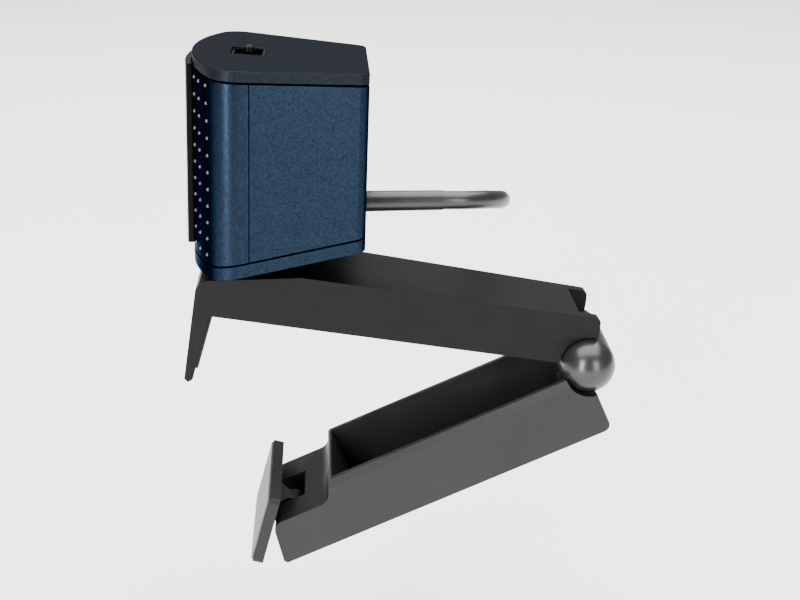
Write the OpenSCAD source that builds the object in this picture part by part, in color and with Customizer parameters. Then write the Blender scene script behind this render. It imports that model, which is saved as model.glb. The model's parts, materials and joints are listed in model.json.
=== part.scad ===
// Clip-on webcam with a folding monitor stand.
// +X runs from the lens side to the rear of the camera, +Z is up, and Y = 0 is the plane of symmetry.
// The origin is on the clip's underside, where it rests on a screen's top edge.

/* [Clip] */
// Slope of the upper arm below the horizontal, degrees
arm_slope = 9.35; // [7:0.05:11]
// Height of the upper arm's section
arm_h = 11.4; // [10.5:0.1:12]
// Distance from the origin to the hinge, along the arm
hinge_run = 74.4; // [72:0.1:78]
// Half width of the upper arm at the origin
arm_half = 12.8; // [12.2:0.1:13.4]
// Depth of the hook below the underside
hook_drop = 14.3; // [10:0.1:18]
// Radius of the hinge barrel and of its round ends
barrel_r = 6.0; // [5.8:0.05:6.1]

/* [Brace] */
// Slope of the lower arm below the horizontal, degrees
brace_slope = 23.7; // [20:0.1:30]
// Length of the lower arm from the hinge
brace_len = 79; // [76:0.5:82]
// Half width of the lower arm
brace_half = 14.5; // [14.3:0.1:15.5]
// Depth of the lower arm's floor below the hinge axis
brace_depth = 14.1; // [13.8:0.1:15]

/* [Foot] */
// Height of the foot plate
foot_h = 16.6; // [14:0.1:20]
// Half width of the foot plate
foot_half = 15.4; // [14:0.1:17]
// Lean of the foot plate from the vertical, degrees
foot_lean = 15.7; // [12:0.1:18]

/* [Head] */
// Radius of the rounded front in plan
front_r = 45; // [44:0.5:50]
// Depth of the head from front to rear
head_depth = 36.1; // [35.5:0.1:37]
// Height of the top face above the tilt pin
top_z = 35.65; // [35.6:0.05:36]
// Shell wall
wall = 1.6; // [1.4:0.1:1.8]
// Lens height above the tilt pin
lens_z = 22; // [21:0.1:23]

/* [Lead] */
// Diameter of the lead
cord_d = 4.0; // [3.6:0.1:4.0]

/* [Hidden] */
$fn = 48;
big = 200;        // longer than any piece
fit = 0.05;       // radial clearance of a turning fit
gap = 0.1;        // parting line between shells

// Hinge axis in the row's frame
hinge_x = hinge_run * cos(arm_slope);
hinge_z = -hinge_run * sin(arm_slope) - 0.25;
axle_r = 1.5;
knuckle_y = 4.7;  // half width of the upper arm's knuckle
cap_y = 9.5;      // centre of each round end
clear_r = barrel_r + 0.4;
arm_taper = 0.0372; // loss of half width per millimetre of length
arm_wall = 1.8;
pad_t = 0.8;
cover_t = 1.2;

// Swivel and tilt axes
pan_x = 8;
tilt_z = 19;
deck_z = 9.5;     // flat on the upper arm that the head turns over
post_r = 4;
pin_r = 1.5;
ear_y = 3;        // half width of the swivel post's eye
lean = 2;         // backward lean of the head

// Head plan
front_x = -18.9;
rear_x = front_x + head_depth;
arc_x = front_x + front_r;
side_a = 14.2;    // inward slope of each side towards the rear
side_c = 20.23;   // distance of a side's line from the plan's origin
crease_x = -6.2;  // parting line between the front and rear shells
base_slope = 9;
top_slope = -2.75;
top_t = 2.2;
base_t = 2.6;
seam = 0.35;
panel_a = 10.2;   // half angle of the front panel about the front's centre
panel_t = 1.4;

function arc(cx, cy, r, a0, a1, n) = [for (i = [0 : n]) let (a = a0 + (a1 - a0) * i / n)
  [cx + r * cos(a), cy + r * sin(a)]];

// Half of the head's outline, drawn in by t: the front arc, the crease's corner and the rear corner
function half_plan(t) =
  let (r = front_r - t,
       corner = 5 - t,
       rear = 2.5 - t / 2,
       d = side_c - t - corner - sin(side_a) * arc_x,
       s = sqrt(pow(r - corner, 2) - d * d),
       kx = arc_x + d * sin(side_a) - s * cos(side_a),
       ky = d * cos(side_a) + s * sin(side_a),
       bend = atan2(ky, kx - arc_x),
       bx = rear_x - t - rear,
       by = (side_c - t - rear - sin(side_a) * bx) / cos(side_a))
  concat(arc(bx, by, rear, 0, 90 - side_a, 4),
         arc(kx, ky, corner, 90 - side_a, bend, 6),
         arc(arc_x, 0, r, bend, 180, 14));

function mirrored(p) = concat(p, [for (i = [len(p) - 2 : -1 : 0]) [p[i][0], -p[i][1]]]);

function base_at(x) = -5.72 + tan(base_slope) * (x + 6.3);
function top_at(x) = top_z + tan(top_slope) * (x + 5.4);

// ---------- frames ----------
module in_arm() rotate([0, arm_slope, 0]) children();
module at_hinge() translate([hinge_x, 0, hinge_z]) children();
module in_brace() at_hinge() rotate([0, -brace_slope, 0]) rotate([0, 0, 180]) children();
module in_foot() translate([1.15, 0, -48.05]) rotate([0, foot_lean, 0]) children();
module in_head() translate([pan_x, 0, tilt_z]) rotate([0, lean, 0]) children();

// ---------- helpers ----------
// A side view, x and z, spread from -y to y
module side(points, y) rotate([90, 0, 0]) translate([0, 0, -y]) linear_extrude(2 * y) polygon(points);
module across(r, y0, y1) translate([0, y0, 0]) rotate([-90, 0, 0]) cylinder(r = r, h = y1 - y0);
module along(r, x0, x1) translate([x0, 0, 0]) rotate([0, 90, 0]) cylinder(r = r, h = x1 - x0);
module block(x0, x1, y, z0, z1) translate([x0, -y, z0]) cube([x1 - x0, 2 * y, z1 - z0]);
module both() { children(); mirror([0, 1, 0]) children(); }

// ---------- clip ----------
function arm_half_at(x) = arm_half - arm_taper * x;

module arm_plan(inset) translate([0, 0, -30]) linear_extrude(60) polygon([
  [-20, arm_half_at(-20) - inset], [80, arm_half_at(80) - inset],
  [80, inset - arm_half_at(80)], [-20, inset - arm_half_at(-20)]]);

arm_side = [[-9.4, 8.1], [10.2, arm_h], [74.4, arm_h - 0.6], [75.2, arm_h - 1.4], [75.4, 8], [75.4, -0.6],
  [66.5, -0.5], [-7.7, 0.4],
  [-9.6, -hook_drop], [-10.5, -hook_drop - 0.8], [-11.4, -hook_drop - 0.1], [-11.4, 5.7], [-10.8, 7.3]];

module upper_arm() color([0.19, 0.19, 0.19]) {
  difference() {
    in_arm() intersection() {
      side(arm_side, 20);
      arm_plan(0);
    }
    in_arm() block(-5.5, 66, 9.2, -1, pad_t + cover_t);
    in_arm() intersection() {
      block(0.5, 62, 20, -1, arm_h - arm_wall - 0.5);
      arm_plan(arm_wall);
      side([[0.5, -1], [62, -1], [62, arm_h - arm_wall - 0.6], [12, arm_h - arm_wall], [3, 7.2], [0.5, 6.9]], 20);
    }
    in_arm() translate([75.9, 0, arm_h + 0.2]) across(5.4, -7.6, 7.6);
    at_hinge() both() across(clear_r, knuckle_y, cap_y);
    at_hinge() both() translate([0, cap_y, 0]) sphere(r = clear_r);
    at_hinge() across(axle_r, -big, big);
    translate([pan_x, 0, 0]) cylinder(r = post_r + fit, h = 20);
  }
  difference() {
    at_hinge() across(barrel_r, -knuckle_y, knuckle_y);
    at_hinge() across(axle_r, -big, big);
  }
}

module underside_cover() color([0.16, 0.16, 0.16]) in_arm() difference() {
  block(-5.4, 65.9, 9.1, pad_t, pad_t + cover_t);
  for (x = [32, 60]) translate([x, 0, 0]) cylinder(r = 1.1, h = 5);
}

module rest_pad() color([0.12, 0.12, 0.12]) in_arm() block(-5.4, 27, 9.1, 0, pad_t);

module hook_pad() color([0.12, 0.12, 0.12]) in_arm()
  side([[-7.72, -0.6], [-7.2, -0.6], [-8.9, -13.4], [-9.45, -13.4]], 9);

module screw(shaft_r, shaft_l, head_r, head_h) {
  difference() {
    cylinder(r = head_r, h = head_h);
    for (a = [0, 90]) rotate(a) translate([-head_r * 0.7, -0.2, -0.1]) cube([head_r * 1.4, 0.4, 0.5]);
  }
  translate([0, 0, head_h]) cylinder(r = shaft_r, h = shaft_l);
}

module cover_screws() color([0.5, 0.5, 0.52]) in_arm() for (x = [32, 60])
  translate([x, 0, pad_t - 0.8]) screw(1, 3.2, 1.8, 0.8);

module hinge_axle() color([0.7, 0.7, 0.72]) at_hinge() across(axle_r, -13, 13);

module hinge_caps() color([0.3, 0.3, 0.3]) at_hinge() both() difference() {
  translate([0, cap_y, 0]) intersection() {
    sphere(r = barrel_r);
    across(barrel_r + 1, 0, barrel_r + 1);
  }
  across(axle_r + 0.03, 0, 13);
}

module hinge_washers() color([0.75, 0.75, 0.75]) at_hinge() both() difference() {
  across(5, knuckle_y, knuckle_y + 0.3);
  across(axle_r + fit, 0, big);
}

// ---------- brace ----------
rim_z = 0.05;
step_x = 61.3;
low_z = -4.2;
chamfer = 1.4;
foot_pin_x = 74.7;
foot_pin_z = -8.4;
foot_pin_r = 1.2;

module brace_side(low) side(concat(
  [[0.6, -5.7], [0.6, -12.4]], arc(2.3, -brace_depth + 1.7, 1.7, 180, 270, 5),
  [[brace_len - 0.6, -brace_depth], [brace_len, -13.4], [77.9, -7]],
  arc(75.4, low_z - 2.4 - low, 2.4, 10, 90, 5),
  arc(65.8, low_z + 3 - low, 3, 270, 190, 6),
  arc(step_x, rim_z - 1.2 - low, 1.2, 10, 90, 5),
  [[4.9, rim_z - low]]), big);

module brace_plan(y) translate([0, 0, -big / 2]) linear_extrude(big)
  polygon([[-5, -y], [90, -y], [90, y], [-5, y]]);

// The outer form, with its long upper edges chamfered
module brace_form() intersection() {
  brace_side(0);
  rotate([90, 0, 90]) translate([0, 0, -5]) linear_extrude(95) polygon([[-brace_half, -20],
    [brace_half, -20], [brace_half, rim_z - chamfer], [brace_half - chamfer, rim_z],
    [chamfer - brace_half, rim_z], [-brace_half, rim_z - chamfer]]);
}

module lower_arm() color([0.27, 0.27, 0.27]) difference() {
  union() {
    difference() {
      in_brace() brace_form();
      in_brace() block(-2, step_x - 0.1, brace_half - 2.6, -brace_depth + 2, 5);
      in_brace() block(69.8, 90, 5.8, -11.8, 5);
      at_hinge() both() translate([0, cap_y, 0]) sphere(r = clear_r);
      at_hinge() both() across(5.5, 11, big);
    }
    at_hinge() both() across(barrel_r, knuckle_y + 0.3, cap_y - 0.2);
    in_brace() both() translate([0.8, knuckle_y + 0.4, -brace_depth + 0.9])
      cube([6.4, cap_y - knuckle_y - 0.8, brace_depth - 1.9]);
  }
  at_hinge() across(axle_r + fit, -big, big);
  in_brace() translate([foot_pin_x, 0, foot_pin_z]) across(foot_pin_r, -8.9, 8.9);
}

module foot_pin() color([0.7, 0.7, 0.72]) in_brace()
  translate([foot_pin_x, 0, foot_pin_z]) across(foot_pin_r, -8.8, 8.8);

// ---------- foot ----------
plate_t = 2.8;
pad_in = 0.4;
eye_x = 7.55;
eye_z = 0.05;

// A plate across Y with rounded corners, from x0 to x1
module rounded_plate(y, z, r, x0, x1) translate([x0, 0, 0]) rotate([90, 0, 90])
  linear_extrude(x1 - x0) polygon(mirrored_quads(y, z, r));
function mirrored_quads(y, z, r) = concat(arc(y - r, z - r, r, 0, 90, 4), arc(r - y, z - r, r, 90, 180, 4),
  arc(r - y, r - z, r, 180, 270, 4), arc(y - r, r - z, r, 270, 360, 4));

module foot_plate() color([0.25, 0.25, 0.25]) in_foot() difference() {
  union() {
    rounded_plate(foot_half, foot_h / 2, 1.4, pad_in, plate_t);
    translate([0, 0, eye_z - 2.6]) linear_extrude(5.2)
      polygon([[plate_t - 0.2, -6.6], [5.6, -2.2], [eye_x, -2.2], [eye_x, 2.2], [5.6, 2.2],
        [plate_t - 0.2, 6.6]]);
    translate([eye_x, 0, eye_z]) across(2.59, -3, 3);
  }
  translate([eye_x, 0, eye_z]) across(foot_pin_r + fit, -big, big);
}

module foot_pad() color([0.5, 0.5, 0.5]) in_foot()
  rounded_plate(foot_half - 0.5, foot_h / 2 - 0.5, 1, 0, pad_in);

// ---------- swivel ----------
module swivel_post() color([0.15, 0.15, 0.15]) difference() {
  translate([pan_x, 0, 0]) {
    translate([0, 0, 6.3]) cylinder(r = post_r, h = 4);
    translate([0, 0, deck_z + 0.15]) cylinder(r = 6.5, h = 1);
    translate([-3.6, -ear_y, deck_z + 0.5]) cube([7.2, 2 * ear_y, tilt_z - deck_z - 0.5]);
    translate([0, 0, tilt_z]) across(3.6, -ear_y, ear_y);
  }
  translate([pan_x, 0, tilt_z]) across(pin_r + fit, -big, big);
  translate([pan_x, 0, 0]) cylinder(r = 1.25, h = 12);
}

module swivel_washer() color([0.75, 0.75, 0.75]) translate([pan_x, 0, 5.7]) difference() {
  cylinder(r = 6, h = 0.6);
  translate([0, 0, -1]) cylinder(r = 1.35, h = 3);
}

module swivel_screw() color([0.5, 0.5, 0.52]) translate([pan_x, 0, 4.2]) screw(1.2, 6.1, 2.4, 1.5);

// ---------- head ----------
// The head's outline drawn in by t, between two faces given by their heights above the base
// and below the top
module head_form(t, low, high) intersection() {
  translate([0, 0, -20]) linear_extrude(80) polygon(mirrored(half_plan(t)));
  side([[-25, base_at(-25) + low], [25, base_at(25) + low], [25, top_at(25) - high],
    [-25, top_at(-25) - high]], 40);
}

module shell_ring() difference() {
  head_form(0, base_t + seam, top_t + seam);
  head_form(wall, base_t + seam - 1, top_t + seam - 1);
}

boss_front = [-9.5, 14.2];
boss_rear = [11, 15];
boss_r = 2.1;

module boss(p, z0, z1) translate([p[0], p[1], z0]) difference() {
  cylinder(r = boss_r, h = z1 - z0);
  translate([0, 0, -1]) cylinder(r = 1, h = z1 - z0 + 2);
}

module front_shell() color([0.2, 0.28, 0.42]) in_head() difference() {
  union() {
    intersection() {
      shell_ring();
      block(-30, crease_x - gap, 40, -30, 60);
    }
    both() boss(boss_front, base_at(boss_front[0]) + base_t + 1.2, 10);
  }
  translate([0, 0, lens_z]) along(3.4, -30, -12);
  translate([0, 0, 8]) along(0.85, -30, -12);
}

module rear_shell() color([0.17, 0.24, 0.34]) in_head() difference() {
  union() {
    intersection() {
      shell_ring();
      block(crease_x, 30, 40, -30, 60);
    }
    both() boss(boss_rear, base_at(boss_rear[0]) + base_t + 1.2, 12);
  }
  translate([0, 0, 4.1]) along(2.3, 10, 30);
}

slot_x0 = -10.9;
slot_x1 = -3.9;
slot_half = 4.3;

module top_cover() color([0.17, 0.19, 0.23]) in_head() difference() {
  head_form(0, 30, 0);
  head_form(-5, -5, top_t);
  block(slot_x0, slot_x1, slot_half, 20, 60);
}

module slider_bezel() color([0.03, 0.03, 0.03]) in_head() difference() {
  block(slot_x0 + 0.05, slot_x1 - 0.05, slot_half - 0.05, top_at(-7.4) - 2, top_at(-7.4) - 0.3);
  block(slot_x0 + 0.6, slot_x1 - 0.6, slot_half - 0.6, top_at(-7.4) - 1.3, 60);
  block(-8.7, -6.1, slot_half - 0.7, 20, 60);
}

module base_cover() color([0.17, 0.24, 0.34]) in_head() difference() {
  union() {
    intersection() {
      head_form(0, 0, 0);
      side([[-25, -30], [25, -30], [25, base_at(25) + base_t], [-25, base_at(-25) + base_t]], 40);
    }
    both() translate([-3, 3.5, base_at(3) + 1]) cube([6, 4.5, -base_at(3) - 1]);
    both() across(3, 3.5, 8);
  }
  block(-7.6, 7.2, 3.4, -30, 10);
  across(pin_r, -big, big);
  for (p = [boss_front, boss_rear]) both() translate([p[0], p[1], base_at(p[0])]) {
    translate([0, 0, -3]) cylinder(r = 1.1, h = 10);
    translate([0, 0, -3]) cylinder(r = 1.8, h = 4.0);
  }
}

module base_screws() color([0.5, 0.5, 0.52]) in_head() for (p = [boss_front, boss_rear]) both()
  translate([p[0], p[1], base_at(p[0]) + 0.1]) screw(0.95, 9, 1.7, 0.9);

module front_arc_piece(r0, r1, a, z0, z1) translate([arc_x, 0, z0]) linear_extrude(z1 - z0)
  polygon(concat(arc(0, 0, r1, 180 - a, 180 + a, 8), arc(0, 0, r0, 180 + a, 180 - a, 8)));

module front_panel() color([0.02, 0.02, 0.02]) in_head() difference() {
  front_arc_piece(front_r + 0.02, front_r + panel_t, panel_a, -3.3, 34.4);
  translate([0, 0, lens_z]) along(2.8, -30, -12);
  translate([0, 0, 8]) along(0.85, -30, -12);
}

module lens_window() color([0.1, 0.1, 0.12, 0.5]) in_head()
  translate([0, 0, lens_z]) along(2.75, -19.9, -19.3);

module lens_barrel() color([0.05, 0.05, 0.05]) in_head() translate([0, 0, lens_z]) difference() {
  union() {
    along(3.6, -13.6, -7);
    block(-7, -5.4, 5, -5, 5);
  }
  along(2.6, -14, -5);
}

module lens_ring() color([0.3, 0.3, 0.3]) in_head() translate([0, 0, lens_z]) difference() {
  along(2.58, -13.5, -12.7);
  along(1.8, -14, -12);
}

module lens_elements() color([0.6, 0.7, 0.8, 0.4]) in_head() translate([0, 0, lens_z])
  for (x = [-12.6, -11, -9.4]) along(2.55, x, x + 0.9);

module sensor_board() color([0.05, 0.3, 0.12]) in_head() difference() {
  block(-5.4, -4.4, 9, 5, 31);
  for (z = [7.2, 28.8]) both() translate([0, 7, z]) along(0.9, -10, 0);
}

module image_sensor() color([0.25, 0.27, 0.3]) in_head() translate([0, 0, lens_z])
  block(-6.4, -5.45, 1.8, -1.8, 1.8);

module main_board() color([0.05, 0.3, 0.12]) in_head() difference() {
  block(7, 8.2, 13, 8, 31);
  for (z = [11, 28]) both() translate([0, 10.5, z]) along(0.9, 0, 20);
}

module processor_chip() color([0.06, 0.06, 0.06]) in_head() block(5.9, 6.95, 4, 16, 24);

module lead_connector() color([0.85, 0.84, 0.78]) in_head() block(8.25, 11, 3.5, 9.5, 13);

module inner_lead() color([0.1, 0.1, 0.1]) in_head() {
  translate([0, 0, 4.1]) along(1.2, 9, 13.8);
  translate([9.9, 0, 4.1]) cylinder(r = 1.2, h = 5.3);
}

module microphones() color([0.7, 0.7, 0.7]) in_head() both() translate([arc_x, 0, 13.2])
  rotate([0, 0, 158]) along(2, front_r - wall - 1.6, front_r - wall - 0.15);

module status_led() color([0.85, 0.9, 1]) in_head() block(-6.2, -5.45, 0.8, 7.2, 8.8);

module light_guide() color([0.8, 0.85, 0.9, 0.6]) in_head()
  translate([0, 0, 8]) along(0.8, -20.1, -6.3);

// Eleven rows of three studs beside the front panel; the outer ones follow a shallow curve
dot_pitch = 3.45;
function front_at(y) = arc_x - sqrt(front_r * front_r - y * y);
module grille_dots() color([0.55, 0.57, 0.6]) in_head() for (k = [-5 : 5], c = [0 : 2])
  let (y = 10.6 + 4.1 * c + 0.35 * c * (1 - pow(k / 5, 2)))
  both() translate([front_at(y), -y, 14.9 + k * dot_pitch]) sphere(r = 0.33, $fn = 16);

module board_screws() color([0.5, 0.5, 0.52]) in_head() {
  for (z = [7.2, 28.8]) both() translate([-3.5, 7, z]) rotate([0, -90, 0]) screw(0.85, 4, 1.5, 0.8);
  for (z = [11, 28]) both() translate([9.1, 10.5, z]) rotate([0, -90, 0]) screw(0.85, 4, 1.5, 0.8);
}

module tilt_pin() color([0.7, 0.7, 0.72]) in_head() across(pin_r, -7.9, 7.9);

module tilt_washers() color([0.75, 0.75, 0.75]) in_head() both() difference() {
  across(2.9, ear_y + 0.1, ear_y + 0.4);
  across(pin_r + fit, 0, big);
}

// ---------- shutter ----------
shut_y = 2.2;    // the slider's place with the lens open
blade_x = -14.4;

module shutter_blade() color([0.08, 0.08, 0.08]) in_head() translate([0, shut_y, 0]) {
  translate([blade_x, 0, 18.6]) cube([0.4, 5.2, 13]);
  translate([blade_x, 0, 31.2]) cube([8.6, 2, 0.8]);
  translate([-7.4, 0, 31.3]) cylinder(r = 1.0, h = 3.45);
}

module shutter_knob() color([0.02, 0.02, 0.02]) in_head() translate([-7.4, shut_y, 0])
  difference() {
    translate([0, 0, 35.3]) sphere(r = 1.35);
    translate([0, 0, 30]) cylinder(r = 1.0, h = 4.75);
    translate([-5, -5, 30]) cube([10, 10, 4.65]);
  }

// ---------- lead ----------
// The lead's own line: out of the sleeve, round one open turn and back into the tied hank
run_points = [[42.2, 0, 22.5], [44, 0.2, 22.4], [46, 0.5, 22.3], [49.2, 1.9, 21.9], [52.2, 4.2, 21.3],
  [54.6, 7.2, 20.4], [56, 10.8, 19.4], [56.5, 14.5, 18.3], [56, 18.2, 17.3], [54.6, 21.8, 16.3],
  [52.2, 24.8, 15.4], [49.2, 27.1, 14.7], [45.8, 28.5, 14.3], [42, 29, 14.2], [38, 29, 14.2],
  [34, 29, 14.2], [30, 29, 14.2], [27, 29, 13.8], [24, 29, 12.5], [21.7, 29, 10.2],
  [20.4, 29, 7.2], [20, 29, 4]];
sleeve_end = 42.2;
hank_x = 4;
hank_z = 17.5;
hank_fold = 16;      // radius of the outer course's folds
hank_straight = 25;  // length of the straight runs
hank_y0 = 27;
hank_y1 = 51;
plug_x = 6;
plug_y = 55.5;
plug_z = 18;         // top of the plug's neck

function unit(v) = v / norm(v);
function tangent(p, i) = unit(p[min(i + 1, len(p) - 1)] - p[max(i - 1, 0)]);
function ring(c, t, r, n) = let (a = unit(cross(t, [0.1, 0.2, 1])), b = cross(t, a))
  [for (k = [0 : n - 1]) c + r * (cos(360 * k / n) * a + sin(360 * k / n) * b)];

module tube(p, r, n) polyhedron(
  points = [for (i = [0 : len(p) - 1]) each ring(p[i], tangent(p, i), r, n)],
  faces = concat([[for (k = [0 : n - 1]) k]],
    [for (i = [0 : len(p) - 2], k = [0 : n - 1])
      [i * n + k, (i + 1) * n + k, (i + 1) * n + (k + 1) % n, i * n + (k + 1) % n]],
    [[for (k = [n - 1 : -1 : 0]) (len(p) - 1) * n + k]]), convexity = 8);

module lead_sleeve() color([0.18, 0.18, 0.18]) translate([0, 0, 22.5]) rotate([0, 90, 0]) {
  translate([0, 0, pan_x + rear_x + 0.9]) cylinder(r1 = 2.25, r2 = 2.15, h = sleeve_end - pan_x - rear_x - 0.9);
  translate([0, 0, pan_x + rear_x - 2.6]) cylinder(r = 2.2, h = 3.6);
  translate([0, 0, pan_x + rear_x - 2.8]) cylinder(r = 3.4, h = 1);
}

module lead_run() color([0.18, 0.18, 0.18]) tube(run_points, cord_d / 2, 8);

module lead_hank() color([0.16, 0.16, 0.16]) difference() {
  translate([hank_x, hank_y1, hank_z]) rotate([90, 0, 0]) linear_extrude(hank_y1 - hank_y0)
    polygon(concat(arc(0, hank_straight / 2, hank_fold + cord_d / 2, 0, 180, 12),
      arc(0, -hank_straight / 2, hank_fold + cord_d / 2, 180, 360, 12)));
  translate([hank_x + hank_fold - 2.5, hank_y0 - 1, 4]) cube([10, 5.1, 60]);
}

module hank_tie() color([0.1, 0.1, 0.1]) translate([0, 0, hank_z]) difference() {
  translate([hank_x - 19, hank_y0 - 1, 0]) cube([38, hank_y1 - hank_y0 + 2, 8]);
  translate([hank_x - 18, hank_y0, -1]) cube([36, hank_y1 - hank_y0, 10]);
}

module plug_body() color([0.15, 0.15, 0.15]) translate([plug_x, plug_y, plug_z]) difference() {
  union() {
    translate([-7.8, -3.9, -28]) cube([15.6, 7.8, 20]);
    translate([0, 0, -8]) cylinder(r1 = 3.5, r2 = 2.4, h = 8);
  }
  translate([-6.05, -2.3, -30]) cube([12.1, 4.6, 8]);
}

module plug_shell() color([0.8, 0.8, 0.8]) translate([plug_x, plug_y, plug_z - 40.5]) difference() {
  translate([-6, -2.25, 0]) cube([12, 4.5, 18.4]);
  translate([-5.7, -1.95, -1]) cube([11.4, 3.9, 19]);
}

module plug_tongue() color([0.9, 0.9, 0.9]) translate([plug_x, plug_y, plug_z - 40])
  translate([-5.6, -1.9, 0]) cube([11.2, 1.8, 17.5]);

upper_arm();
underside_cover();
rest_pad();
hook_pad();
cover_screws();
hinge_axle();
hinge_caps();
hinge_washers();
lower_arm();
foot_pin();
foot_plate();
foot_pad();
swivel_post();
swivel_washer();
swivel_screw();
base_cover();
front_shell();
rear_shell();
top_cover();
slider_bezel();
front_panel();
lens_window();
lens_barrel();
lens_ring();
lens_elements();
sensor_board();
image_sensor();
main_board();
processor_chip();
lead_connector();
inner_lead();
microphones();
status_led();
light_guide();
grille_dots();
base_screws();
board_screws();
tilt_pin();
tilt_washers();
shutter_blade();
shutter_knob();
lead_sleeve();
lead_run();
lead_hank();
hank_tie();
plug_body();
plug_shell();
plug_tongue();
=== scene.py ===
import json
import math

import bmesh
import bpy
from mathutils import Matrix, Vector


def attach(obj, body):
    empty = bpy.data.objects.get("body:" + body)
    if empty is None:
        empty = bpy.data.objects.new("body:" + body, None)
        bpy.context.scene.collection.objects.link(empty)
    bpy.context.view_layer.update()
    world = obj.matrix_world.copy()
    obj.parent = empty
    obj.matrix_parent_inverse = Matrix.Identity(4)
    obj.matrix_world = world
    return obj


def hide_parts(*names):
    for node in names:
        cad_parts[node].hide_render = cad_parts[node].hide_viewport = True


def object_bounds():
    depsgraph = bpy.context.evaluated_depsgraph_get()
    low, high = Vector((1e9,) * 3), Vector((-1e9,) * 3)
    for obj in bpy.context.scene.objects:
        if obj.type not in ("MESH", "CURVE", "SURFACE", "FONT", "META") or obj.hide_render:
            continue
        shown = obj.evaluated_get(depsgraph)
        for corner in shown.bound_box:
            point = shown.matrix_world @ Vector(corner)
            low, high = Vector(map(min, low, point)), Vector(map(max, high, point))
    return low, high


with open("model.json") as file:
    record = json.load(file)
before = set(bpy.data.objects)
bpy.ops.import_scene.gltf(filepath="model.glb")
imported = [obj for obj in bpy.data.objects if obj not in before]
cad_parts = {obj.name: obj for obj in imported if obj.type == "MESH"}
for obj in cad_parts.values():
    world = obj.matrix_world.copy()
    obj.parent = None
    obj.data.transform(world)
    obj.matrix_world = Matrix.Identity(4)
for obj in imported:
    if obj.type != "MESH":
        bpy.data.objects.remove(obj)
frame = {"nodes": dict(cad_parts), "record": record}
before = [list(map(float, corner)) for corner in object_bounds()]
NODES = frame["nodes"]
BODIES = frame["record"]["behaviour"]["bodies"]
BODY_OF = {n: b for b, names in BODIES.items() for n in names}
SLOT_OF = {s["node"]: s["material_slot"] for s in frame["record"]["subparts"]}
MM = 0.001
SHARP_ANGLE = 32.0      # degrees; a sharper edge is kept crisp or rounded
FLAT_ANGLE = 0.8        # degrees; faces flatter than this to each other are joined
BEVEL_SEGMENTS = 3
TURN_POINTS = 40        # points in one turn of the hank
EASE_POINTS = 12        # points over which the last run of a course leans in
FLOOR_DROP = 0.045      # keeps the floor below the foot at every fold


# ---------- materials ----------
def link(tree, a, b):
    tree.links.new(a, b)


def node(tree, kind, **values):
    n = tree.nodes.new(kind)
    for key, value in values.items():
        setattr(n, key, value)
    return n


def noise(tree, scale, detail=3.0, rough=0.5):
    coord = node(tree, "ShaderNodeTexCoord")
    n = node(tree, "ShaderNodeTexNoise")
    n.inputs["Scale"].default_value = scale
    n.inputs["Detail"].default_value = detail
    n.inputs["Roughness"].default_value = rough
    link(tree, coord.outputs["Object"], n.inputs["Vector"])
    return n


def spread(tree, source, low, high, to_min, to_max):
    m = node(tree, "ShaderNodeMapRange")
    m.inputs["From Min"].default_value = low
    m.inputs["From Max"].default_value = high
    m.inputs["To Min"].default_value = to_min
    m.inputs["To Max"].default_value = to_max
    link(tree, source, m.inputs["Value"])
    return m.outputs["Result"]


def tint(tree, factor, dark, light):
    m = node(tree, "ShaderNodeMix", data_type="RGBA")
    m.inputs["A"].default_value = (*dark, 1)
    m.inputs["B"].default_value = (*light, 1)
    link(tree, factor, m.inputs["Factor"])
    return m.outputs["Result"]


def finish_of(slot, base, rough, vary=0.04, cloud=60.0, shade=0.12, grain=9000.0, bump=0.02,
              depth=0.02, **extra):
    """A moulded, painted or metal surface: colour clouds, uneven roughness and a fine grain."""
    m = bpy.data.materials.new(slot)
    m.use_nodes = True
    t = m.node_tree
    p = t.nodes["Principled BSDF"]
    clouds = noise(t, cloud, 4.0)
    dark = [c * (1 - shade) for c in base]
    light = [c * (1 + shade) for c in base]
    link(t, tint(t, spread(t, clouds.outputs["Fac"], 0.3, 0.7, 0, 1), dark, light), p.inputs["Base Color"])
    wear = noise(t, cloud * 3.7, 5.0)
    link(t, spread(t, wear.outputs["Fac"], 0.3, 0.7, rough - vary, rough + vary), p.inputs["Roughness"])
    if bump:
        fine = noise(t, grain, 2.0)
        b = node(t, "ShaderNodeBump")
        b.inputs["Strength"].default_value = bump
        b.inputs["Distance"].default_value = depth * MM
        link(t, fine.outputs["Fac"], b.inputs["Height"])
        link(t, b.outputs["Normal"], p.inputs["Normal"])
    for key, value in extra.items():
        p.inputs[key.replace("_", " ")].default_value = value
    return m


def sparkle(slot, deep, bright, rough, metallic, size):
    """Metallic paint: flakes of two sizes scatter light and dark points over the base colour."""
    m = bpy.data.materials.new(slot)
    m.use_nodes = True
    t = m.node_tree
    p = t.nodes["Principled BSDF"]
    flakes = noise(t, size, 3.0, 0.75)
    soft = noise(t, size * 0.35, 2.0, 0.6)
    both = node(t, "ShaderNodeMath", operation="MULTIPLY_ADD")
    link(t, soft.outputs["Fac"], both.inputs[0])
    both.inputs[1].default_value = 0.45
    link(t, flakes.outputs["Fac"], both.inputs[2])
    link(t, tint(t, spread(t, both.outputs[0], 0.52, 0.95, 0, 1), deep, bright), p.inputs["Base Color"])
    link(t, spread(t, flakes.outputs["Fac"], 0.3, 0.7, rough + 0.08, rough - 0.06), p.inputs["Roughness"])
    b = node(t, "ShaderNodeBump")
    b.inputs["Strength"].default_value = 0.25
    b.inputs["Distance"].default_value = 0.01 * MM
    link(t, flakes.outputs["Fac"], b.inputs["Height"])
    link(t, b.outputs["Normal"], p.inputs["Normal"])
    p.inputs["Metallic"].default_value = metallic
    p.inputs["Specular Tint"].default_value = (0.12, 0.18, 0.28, 1)
    return m


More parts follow.
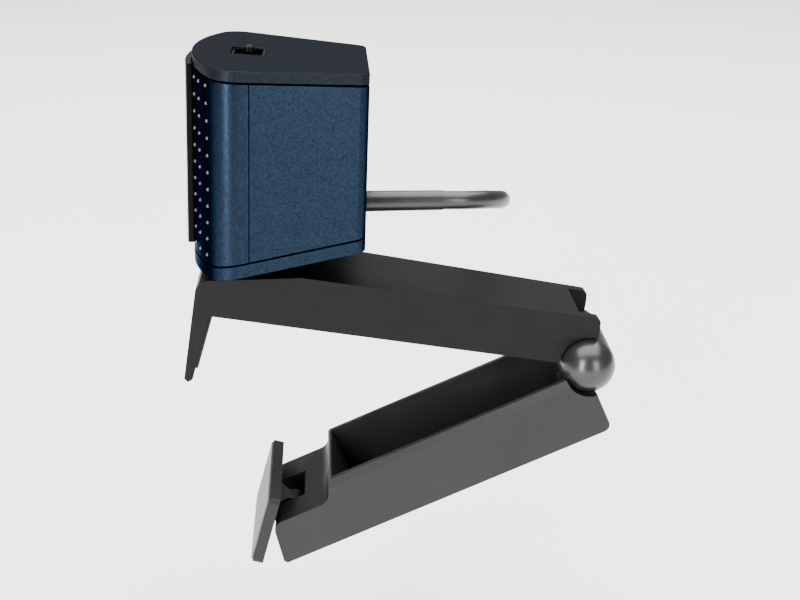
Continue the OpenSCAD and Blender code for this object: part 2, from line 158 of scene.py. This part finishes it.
def weave(slot, base, rough, scale):
    m = finish_of(slot, base, rough, bump=0)
    t = m.node_tree
    p = t.nodes["Principled BSDF"]
    coord = node(t, "ShaderNodeTexCoord")
    waves = []
    for axis in ("X", "Z"):
        w = node(t, "ShaderNodeTexWave", bands_direction=axis)
        w.inputs["Scale"].default_value = scale
        w.inputs["Distortion"].default_value = 0.4
        link(t, coord.outputs["Object"], w.inputs["Vector"])
        waves.append(w)
    mul = node(t, "ShaderNodeMath", operation="MULTIPLY")
    link(t, waves[0].outputs["Fac"], mul.inputs[0])
    link(t, waves[1].outputs["Fac"], mul.inputs[1])
    b = node(t, "ShaderNodeBump")
    b.inputs["Strength"].default_value = 0.6
    b.inputs["Distance"].default_value = 0.15 * MM
    link(t, mul.outputs[0], b.inputs["Height"])
    link(t, b.outputs["Normal"], p.inputs["Normal"])
    return m


MATS = {
    "shell_blue": sparkle("shell_blue", (0.0035, 0.0065, 0.0115), (0.0135, 0.0235, 0.040), 0.34, 1.0, 5200.0),
    "top_slate": sparkle("top_slate", (0.004, 0.005, 0.0068), (0.013, 0.0155, 0.020), 0.45, 0.8, 5600.0),
    "arm_black": finish_of("arm_black", (0.0015, 0.0015, 0.0016), 0.42, grain=7000.0, bump=0.05,
                           Specular_IOR_Level=0.13),
    "brace_black": finish_of("brace_black", (0.008, 0.008, 0.0082), 0.46, grain=7000.0, bump=0.06,
                             Specular_IOR_Level=0.25),
    "cap_black": finish_of("cap_black", (0.008, 0.008, 0.0085), 0.30, grain=6000.0, bump=0.03),
    "foot_black": finish_of("foot_black", (0.006, 0.006, 0.0062), 0.42, grain=7000.0, bump=0.05,
                            Specular_IOR_Level=0.25),
    "pad_rubber": finish_of("pad_rubber", (0.012, 0.012, 0.012), 0.75, grain=4000.0, bump=0.2),
    "pad_grey": finish_of("pad_grey", (0.105, 0.105, 0.105), 0.62, shade=0.2, cloud=500.0, grain=3000.0,
                          bump=0.35, depth=0.05),
    "screw_steel": finish_of("screw_steel", (0.55, 0.55, 0.57), 0.3, Metallic=1.0),
    "pin_steel": finish_of("pin_steel", (0.6, 0.6, 0.62), 0.22, Metallic=1.0),
    "washer_plastic": finish_of("washer_plastic", (0.7, 0.69, 0.65), 0.45),
    "gloss_black": finish_of("gloss_black", (0.0015, 0.0015, 0.0018), 0.2, vary=0.02, bump=0.0,
                             Specular_IOR_Level=0.05),
    "lens_glass": finish_of("lens_glass", (0.82, 0.86, 0.95), 0.04, vary=0.01, shade=0.03, bump=0.0,
                            Transmission_Weight=0.9, IOR=1.52),
    "barrel_black": finish_of("barrel_black", (0.012, 0.012, 0.012), 0.5, bump=0.04),
    "ring_grey": finish_of("ring_grey", (0.25, 0.25, 0.26), 0.3, Metallic=0.9),
    "board_green": finish_of("board_green", (0.01, 0.09, 0.03), 0.35, shade=0.2),
    "sensor_glass": finish_of("sensor_glass", (0.05, 0.06, 0.09), 0.1, vary=0.02),
    "chip_black": finish_of("chip_black", (0.015, 0.015, 0.015), 0.5),
    "connector_ivory": finish_of("connector_ivory", (0.7, 0.68, 0.58), 0.45),
    "mic_metal": finish_of("mic_metal", (0.65, 0.6, 0.45), 0.3, Metallic=1.0),
    "led_clear": finish_of("led_clear", (0.8, 0.85, 0.9), 0.15, vary=0.03, shade=0.03),
    "dot_grey": finish_of("dot_grey", (0.045, 0.050, 0.060), 0.45, shade=0.2, cloud=400.0),
    "lead_black": finish_of("lead_black", (0.007, 0.007, 0.0072), 0.34, grain=4000.0, bump=0.05),
    "tie_black": weave("tie_black", (0.014, 0.014, 0.014), 0.85, 900.0),
    "plug_black": finish_of("plug_black", (0.022, 0.022, 0.022), 0.42, bump=0.06),
    "plug_steel": finish_of("plug_steel", (0.72, 0.72, 0.72), 0.2, Metallic=1.0),
    "tongue_white": finish_of("tongue_white", (0.8, 0.8, 0.78), 0.45),
}


# ---------- mesh helpers ----------
def new_object(name, bm, slot, body, smooth=SHARP_ANGLE):
    mesh = bpy.data.meshes.new(name)
    bm.to_mesh(mesh)
    bm.free()
    obj = bpy.data.objects.new(name, mesh)
    bpy.context.scene.collection.objects.link(obj)
    mesh.materials.append(MATS[slot])
    mesh.set_sharp_from_angle(angle=math.radians(smooth))
    for face in mesh.polygons:
        face.use_smooth = True
    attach(obj, body)
    return obj


def welded(name):
    bm = bmesh.new()
    bm.from_mesh(NODES[name].data)
    bmesh.ops.remove_doubles(bm, verts=bm.verts, dist=1e-6)
    bmesh.ops.dissolve_limit(bm, angle_limit=math.radians(FLAT_ANGLE), verts=bm.verts,
                             edges=bm.edges)
    return bm


def refined(name, width):
    """The node's own form with its sharp edges rounded."""
    bm = welded(name)
    obj = new_object(name + "_form", bm, SLOT_OF[name], BODY_OF[name])
    mod = obj.modifiers.new("edges", "BEVEL")
    mod.width = width * MM
    mod.segments = BEVEL_SEGMENTS
    mod.limit_method = "ANGLE"
    mod.angle_limit = math.radians(SHARP_ANGLE)
    mod.harden_normals = True
    mod.use_clamp_overlap = True
    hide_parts(name)


for name, obj in NODES.items():
    obj.data.materials.clear()
    obj.data.materials.append(MATS[SLOT_OF[name]])

for name, width in {"upper_arm": 0.35, "lower_arm": 0.35, "foot_plate": 0.3, "foot_pad": 0.12,
                    "front_shell": 0.15, "rear_shell": 0.15, "top_cover": 0.22, "base_cover": 0.22,
                    "front_panel": 0.4, "slider_bezel": 0.1, "hinge_caps": 0.2, "swivel_post": 0.25,
                    "plug_body": 0.9, "plug_shell": 0.12, "underside_cover": 0.15, "rest_pad": 0.15,
                    "hook_pad": 0.12, "lead_sleeve": 0.12, "shutter_knob": 0.08}.items():
    refined(name, width)


# ---------- the lead ----------
def smooth_line(points, step):
    """A Catmull-Rom line through the points, with a point about every step."""
    p = [Vector(q) for q in points]
    p = [p[0] * 2 - p[1]] + p + [p[-1] * 2 - p[-2]]
    out = []
    for i in range(1, len(p) - 2):
        count = max(2, round((p[i + 1] - p[i]).length / step))
        for k in range(count):
            t = k / count
            out.append(0.5 * (2 * p[i] + (p[i + 1] - p[i - 1]) * t
                              + (2 * p[i - 1] - 5 * p[i] + 4 * p[i + 1] - p[i + 2]) * t * t
                              + (3 * p[i] - p[i - 1] - 3 * p[i + 1] + p[i + 2]) * t * t * t))
    out.append(p[-2])
    return out


RUN = [(26.4, 0, 22.5), (32, 0, 22.5), (38, 0, 22.5), (42.2, 0, 22.5), (46, 0.5, 22.3), (49.2, 1.9, 21.9),
       (52.2, 4.2, 21.3), (54.6, 7.2, 20.4), (56, 10.8, 19.4), (56.5, 14.5, 18.3), (56, 18.2, 17.3),
       (54.6, 21.8, 16.3), (52.2, 24.8, 15.4), (49.2, 27.1, 14.7), (45.8, 28.5, 14.3), (42, 29, 14.2),
       (38, 29, 14.2), (34, 29, 14.2), (30, 29, 14.2), (27, 29, 13.8), (24, 29, 12.5), (21.7, 29, 10.2),
       (20.4, 29, 7.2)]
HANK_X, HANK_Z, STRAIGHT = 4.0, 17.5, 25.0
FOLD, LAYER = 16.0, 4.05


def course(radius, turns, y0, y1, start, ease=0.0):
    """Turns of one course: down the right side, round the bottom, up the left side and over the top."""
    per = 2 * math.pi * radius + 2 * STRAIGHT
    low, high = HANK_Z - STRAIGHT / 2, HANK_Z + STRAIGHT / 2
    out = []
    count = round(turns * TURN_POINTS)
    for i in range(start, count + 1):
        s = (i / TURN_POINTS % 1) * per
        y = y0 + (y1 - y0) * i / count
        r = radius
        if s < math.pi * r:
            x, z = HANK_X + r * math.cos(s / r), low - r * math.sin(s / r)
        elif s < math.pi * r + STRAIGHT:
            x, z = HANK_X - r, low + s - math.pi * r
        elif s < 2 * math.pi * r + STRAIGHT:
            a = (s - math.pi * r - STRAIGHT) / r
            x, z = HANK_X - r * math.cos(a), high + r * math.sin(a)
        else:
            x, z = HANK_X + r, high - (s - 2 * math.pi * r - STRAIGHT)
            if ease and i > count - EASE_POINTS:
                x -= ease * (high - z) / STRAIGHT
        out.append((x, y, z))
    return out


outer = course(FOLD, 5, 29.0, 29.0 + 5 * LAYER, 1, ease=4.0)
inner = course(FOLD - 4, 4.35, 29.0 + 5 * LAYER, 29.0 + 0.65 * LAYER, 1)
TAIL = [(-7.2, 31.6, 17.5), (-4.6, 32.4, 22), (-1.2, 35, 25.6), (2.0, 38.8, 28.2), (4.5, 43, 29.6),
        (5.8, 47.2, 29.4), (6, 51, 27.2), (6, 53.9, 23.8), (6, 55.3, 20.5), (6, 55.5, 17)]
line = smooth_line([Vector(q) * MM for q in RUN + outer + inner + TAIL], 0.002)
curve = bpy.data.curves.new("lead", "CURVE")
curve.dimensions = "3D"
curve.bevel_depth = 2.0 * MM
curve.bevel_resolution = 6
curve.use_fill_caps = True
spline = curve.splines.new("POLY")
spline.points.add(len(line) - 1)
for pt, co in zip(spline.points, line):
    pt.co = (*co, 1)
spline.use_smooth = True
lead = bpy.data.objects.new("lead", curve)
bpy.context.scene.collection.objects.link(lead)
curve.materials.append(MATS["lead_black"])
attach(lead, "head")
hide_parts("lead_run", "lead_hank")


def band(name, half_x, half_y, r, z0, z1, thick, cx, cy, slot, body):
    """A strap round the hank with rounded corners and softly turned edges."""
    bm = bmesh.new()
    rings = []
    for inset, z in ((0, z0 + 0.35), (0, z1 - 0.35), (0.35, z1), (thick - 0.2, z1), (thick, z1 - 0.3),
                     (thick, z0 + 0.3), (thick - 0.2, z0), (0.35, z0)):
        row = []
        for qx, qy, a0 in ((1, 1, 0), (-1, 1, 90), (-1, -1, 180), (1, -1, 270)):
            for k in range(9):
                a = math.radians(a0 + k * 11.25)
                x = cx + qx * (half_x - r) + (r - inset) * math.cos(a)
                y = cy + qy * (half_y - r) + (r - inset) * math.sin(a)
                row.append(bm.verts.new((x * MM, y * MM, z * MM)))
        rings.append(row)
    n = len(rings[0])
    for i, row in enumerate(rings):
        nxt = rings[(i + 1) % len(rings)]
        for k in range(n):
            bm.faces.new((row[k], row[(k + 1) % n], nxt[(k + 1) % n], nxt[k]))
    bmesh.ops.recalc_face_normals(bm, faces=bm.faces)
    return new_object(name, bm, slot, body, 60)


tie = band("tie_strap", 19, 13, 5.5, HANK_Z, HANK_Z + 8, 1.0, HANK_X, 39, "tie_black", "head")
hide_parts("hank_tie")

# ---------- stage ----------
scene = bpy.context.scene
tilt, turn, away = math.radians(20), math.radians(2.8), 0.3143
aim = Vector((0.033, 0, -0.00015))
forward = Vector((math.sin(turn) * math.cos(tilt), math.cos(turn) * math.cos(tilt), -math.sin(tilt)))
cam_data = bpy.data.cameras.new("camera")
cam_data.lens = 64.35
cam_data.sensor_width = 36
cam_data.clip_start = 0.01
cam = bpy.data.objects.new("camera", cam_data)
cam.location = aim - forward * away
cam.rotation_euler = (math.radians(90) - tilt, 0, -turn)
scene.collection.objects.link(cam)
scene.camera = cam

floor_z = before[0][2] - FLOOR_DROP
bm = bmesh.new()
bmesh.ops.create_grid(bm, x_segments=2, y_segments=2, size=6)
floor_mesh = bpy.data.meshes.new("floor")
bm.to_mesh(floor_mesh)
bm.free()
floor = bpy.data.objects.new("floor", floor_mesh)
floor.location = (0, 0, floor_z)
scene.collection.objects.link(floor)
floor_mesh.materials.append(finish_of("floor", (0.9, 0.9, 0.9), 0.7, shade=0.01, cloud=8.0, bump=0.0))


def softbox(name, place, at, size, power):
    data = bpy.data.lights.new(name, "AREA")
    data.shape = "RECTANGLE"
    data.size, data.size_y = size
    data.energy = power
    obj = bpy.data.objects.new(name, data)
    obj.location = place
    obj.rotation_euler = (Vector(at) - Vector(place)).to_track_quat("-Z", "Y").to_euler()
    scene.collection.objects.link(obj)


softbox("strip", (-0.27, -0.52, 0.16), (0, 0, 0.03), (0.05, 0.45), 7)
softbox("fill", (0.38, -0.60, 0.16), (0.02, 0, 0), (0.22, 0.45), 4)
softbox("overhead", (0, 0.3, 1.1), (0, 0.3, 0), (1.8, 1.8), 90)
world = bpy.data.worlds.new("world")
world.use_nodes = True
world.node_tree.nodes["Background"].inputs["Color"].default_value = (1, 1, 1, 1)
world.node_tree.nodes["Background"].inputs["Strength"].default_value = 0.35
scene.world = world
